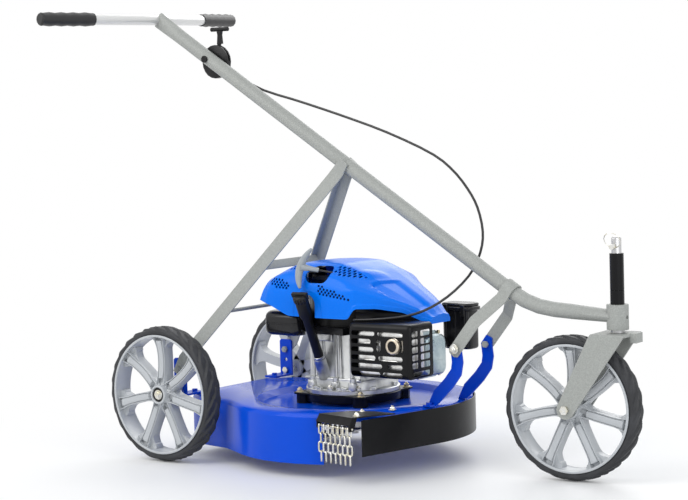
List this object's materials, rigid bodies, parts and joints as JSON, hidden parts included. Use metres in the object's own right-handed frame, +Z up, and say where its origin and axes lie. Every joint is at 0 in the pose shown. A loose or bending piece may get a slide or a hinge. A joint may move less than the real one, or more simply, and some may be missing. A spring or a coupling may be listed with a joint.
{
  "type": "lawn mower",
  "caption": "Side-discharge petrol lawn mower on two spoked rear wheels and a front caster wheel, with one straight boom up to a wide cross handlebar.",
  "frame": {"origin": "on the floor, under the middle of the bounding box", "axes": "+X runs forward to the caster wheel, +Z up, and -Y is the side with the discharge, the mower's right"},
  "size_m": [1.323, 0.6552, 0.9918],
  "materials": {
    "hammertone": "hammered grey paint",
    "deck_blue": "high gloss blue paint",
    "bracket_blue": "gloss blue paint",
    "cowl_blue": "moulded, semi gloss",
    "satin_black": "satin black paint",
    "black_plastic": "moulded, matt",
    "zinc": "zinc plated",
    "cast_aluminium": "as cast",
    "steel": "turned or pressed",
    "wheel_grey": "moulded, fine grain",
    "tyre_rubber": "matt tread",
    "grip_rubber": "semi gloss",
    "silver_bar": "pearl silver paint"
  },
  "bodies": {
    "chassis": {"air_filter_box": "black_plastic", "axle_bolt_left": "zinc", "axle_bolt_right": "zinc", "axle_bracket_left": "bracket_blue", "axle_bracket_right": "bracket_blue", "blower_housing": "black_plastic", "boom_lower": "hammertone", "boom_upper": "hammertone", "brace_lower": "hammertone", "brace_upper": "hammertone", "carburettor": "cast_aluminium", "chain_rod": "zinc", "chute_roof": "satin_black", "cowl": "cowl_blue", "crankcase": "cast_aluminium", "cylinder": "cast_aluminium", "deck": "deck_blue", "engine_plate": "satin_black", "front_hanger": "hammertone", "front_leg_left": "bracket_blue", "front_leg_right": "bracket_blue", "front_skirt": "satin_black", "fuel_tank": "black_plastic", "grip_left": "grip_rubber", "grip_right": "grip_rubber", "handlebar": "silver_bar", "muffler": "steel", "muffler_guard": "satin_black", "oil_filler_tube": "black_plastic", "steering_head": "hammertone", "strut_left": "hammertone", "strut_right": "hammertone", "throttle_cable": "black_plastic", "throttle_housing": "black_plastic", "valve_cover": "zinc"},
    "throttle_lever_body": {"throttle_lever": "black_plastic"},
    "oil_cap_body": {"oil_cap": "black_plastic"},
    "fuel_cap_body": {"fuel_cap": "black_plastic"},
    "starter_pull_body": {"starter_handle": "hammertone"},
    "crank_and_blade": {"crankshaft": "steel", "blade": "steel"},
    "rear_wheel_left": {"rear_wheel_left_rim": "wheel_grey", "rear_wheel_left_tyre": "tyre_rubber"},
    "rear_wheel_right": {"rear_wheel_right_rim": "wheel_grey", "rear_wheel_right_tyre": "tyre_rubber"},
    "caster": {"fork": "hammertone", "spindle": "steel", "spacer_long": "satin_black", "spacer_short": "satin_black", "lynch_pin": "zinc", "front_axle_bolt": "zinc"},
    "front_wheel": {"front_wheel_rim": "wheel_grey", "front_wheel_tyre": "tyre_rubber"},
    "chain_strand_1": {"chain_1": "zinc"},
    "chain_strand_2": {"chain_2": "zinc"},
    "chain_strand_3": {"chain_3": "zinc"},
    "chain_strand_4": {"chain_4": "zinc"},
    "chain_strand_5": {"chain_5": "zinc"},
    "chain_strand_6": {"chain_6": "zinc"},
    "chain_strand_7": {"chain_7": "zinc"}
  },
  "joints": [
    {"name": "rear_wheel_left_spin", "type": "hinge", "parent": "chassis", "child": "rear_wheel_left", "pos_m": [-0.3927, 0.2374, 0.149], "axis": [0, 1, 0], "continuous": true},
    {"name": "rear_wheel_right_spin", "type": "hinge", "parent": "chassis", "child": "rear_wheel_right", "pos_m": [-0.3927, -0.2374, 0.149], "axis": [0, 1, 0], "continuous": true},
    {"name": "caster_swivel", "type": "hinge", "parent": "chassis", "child": "caster", "pos_m": [0.6128, 0, 0.33675], "axis": [0, 0, 1], "continuous": true},
    {"name": "front_wheel_spin", "type": "hinge", "parent": "caster", "child": "front_wheel", "pos_m": [0.51225, -0.0095, 0.149], "axis": [-0.0941, 0.9956, 0], "continuous": true},
    {"name": "throttle", "type": "hinge", "parent": "chassis", "child": "throttle_lever_body", "pos_m": [-0.4385, 0.0246, 0.87297], "axis": [0, 1, 0], "range_deg": [-40, 35]},
    {"name": "crank_spin", "type": "hinge", "parent": "chassis", "child": "crank_and_blade", "pos_m": [-0.0547, 0, 0.2], "axis": [0, 0, 1], "continuous": true},
    {"name": "oil_cap_pull", "type": "slide", "parent": "chassis", "child": "oil_cap_body", "axis": [0.062, -0.4546, 0.8885], "range_m": [0, 0.19]},
    {"name": "fuel_cap_lift", "type": "slide", "parent": "chassis", "child": "fuel_cap_body", "axis": [0, 0, 1], "range_m": [0, 0.1]},
    {"name": "starter_pull", "type": "slide", "parent": "chassis", "child": "starter_pull_body", "axis": [-0.8359, -0.5097, 0.2039], "range_m": [0, 0.45], "stiffness_N_per_m": 30, "springref_m": -0.2},
    {"name": "chain_1_swing", "type": "hinge", "parent": "chassis", "child": "chain_strand_1", "pos_m": [0.05842, -0.26197, 0.1165], "axis": [0.9816, -0.1908, 0], "range_deg": [-80, 55]},
    {"name": "chain_2_swing", "type": "hinge", "parent": "chassis", "child": "chain_strand_2", "pos_m": [0.07305, -0.26481, 0.1165], "axis": [0.9816, -0.1908, 0], "range_deg": [-80, 55]},
    {"name": "chain_3_swing", "type": "hinge", "parent": "chassis", "child": "chain_strand_3", "pos_m": [0.08767, -0.26766, 0.1165], "axis": [0.9816, -0.1908, 0], "range_deg": [-80, 55]},
    {"name": "chain_4_swing", "type": "hinge", "parent": "chassis", "child": "chain_strand_4", "pos_m": [0.1023, -0.2705, 0.1165], "axis": [0.9816, -0.1908, 0], "range_deg": [-80, 55]},
    {"name": "chain_5_swing", "type": "hinge", "parent": "chassis", "child": "chain_strand_5", "pos_m": [0.11693, -0.27334, 0.1165], "axis": [0.9816, -0.1908, 0], "range_deg": [-80, 55]},
    {"name": "chain_6_swing", "type": "hinge", "parent": "chassis", "child": "chain_strand_6", "pos_m": [0.13155, -0.27619, 0.1165], "axis": [0.9816, -0.1908, 0], "range_deg": [-80, 55]},
    {"name": "chain_7_swing", "type": "hinge", "parent": "chassis", "child": "chain_strand_7", "pos_m": [0.14618, -0.27903, 0.1165], "axis": [0.9816, -0.1908, 0], "range_deg": [-80, 55]}
  ]
}
